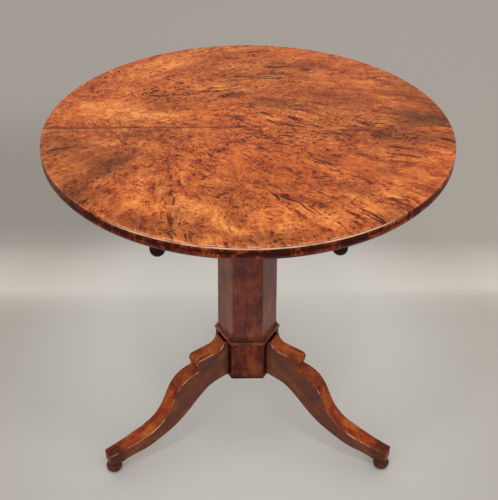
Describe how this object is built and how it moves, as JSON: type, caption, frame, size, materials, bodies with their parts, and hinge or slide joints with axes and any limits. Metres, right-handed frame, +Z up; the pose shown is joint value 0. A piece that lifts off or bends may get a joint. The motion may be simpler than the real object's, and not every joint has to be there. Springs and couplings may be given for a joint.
{
  "type": "tripod table",
  "caption": "Round tilt-top table with a polished burr veneer top on a six-sided column and three stepped S-shaped legs on bun feet.",
  "frame": {"origin": "on the floor under the middle of the column and of the round top", "axes": "+Z up, -Y to the front where the two bolt knobs are, +X to the right seen from the front"},
  "size_m": [0.758, 0.758, 0.743],
  "materials": {
    "burr_veneer": "french polished root and burr veneer, high gloss",
    "edge_veneer": "dark figured edge veneer, polished",
    "column_veneer": "red-brown straight veneer, polished",
    "moulding_wood": "red-brown moulding, polished",
    "block_veneer": "red-brown veneer, polished",
    "leg_wood": "orange-brown veneered leg, polished",
    "foot_wood": "turned dark brown wood, polished",
    "knob_wood": "turned wood stained near black, polished",
    "core_wood": "plain softwood, brown stained, dull",
    "frame_wood": "plain beech, brown stained, dull",
    "rod_wood": "turned beech, bare and rubbed",
    "dowel_wood": "plain birch, bare",
    "iron_screw": "old iron screw, dulled"
  },
  "bodies": {
    "stand": {"column_shaft": "column_veneer", "collar_moulding": "moulding_wood", "base_block": "block_veneer", "base_cap": "block_veneer", "cap_screws": "iron_screw", "leg_left": "leg_wood", "leg_right": "leg_wood", "leg_rear": "leg_wood", "dowels_left": "dowel_wood", "dowels_right": "dowel_wood", "dowels_rear": "dowel_wood", "foot_left": "foot_wood", "foot_right": "foot_wood", "foot_rear": "foot_wood", "head_block": "frame_wood", "head_wedge": "dowel_wood", "tilt_pin_left": "dowel_wood", "tilt_pin_right": "dowel_wood"},
    "top": {"top_core": "core_wood", "veneer_front": "burr_veneer", "veneer_rear": "burr_veneer", "edge_band": "edge_veneer", "batten_left": "frame_wood", "batten_right": "frame_wood", "batten_screws": "iron_screw", "guide_left": "frame_wood", "guide_right": "frame_wood"},
    "left_bolt": {"bolt_rod_left": "rod_wood", "knob_left": "knob_wood"},
    "right_bolt": {"bolt_rod_right": "rod_wood", "knob_right": "knob_wood"}
  },
  "joints": [
    {"name": "top_tilt", "type": "hinge", "parent": "stand", "child": "top", "pos_m": [0, 0.095, 0.696], "axis": [-1, 0, 0], "range_deg": [0, 90]},
    {"name": "left_bolt_slide", "type": "slide", "parent": "top", "child": "left_bolt", "axis": [0, 1, 0], "range_m": [0, 0.03]},
    {"name": "right_bolt_slide", "type": "slide", "parent": "top", "child": "right_bolt", "axis": [0, 1, 0], "range_m": [0, 0.03]}
  ]
}
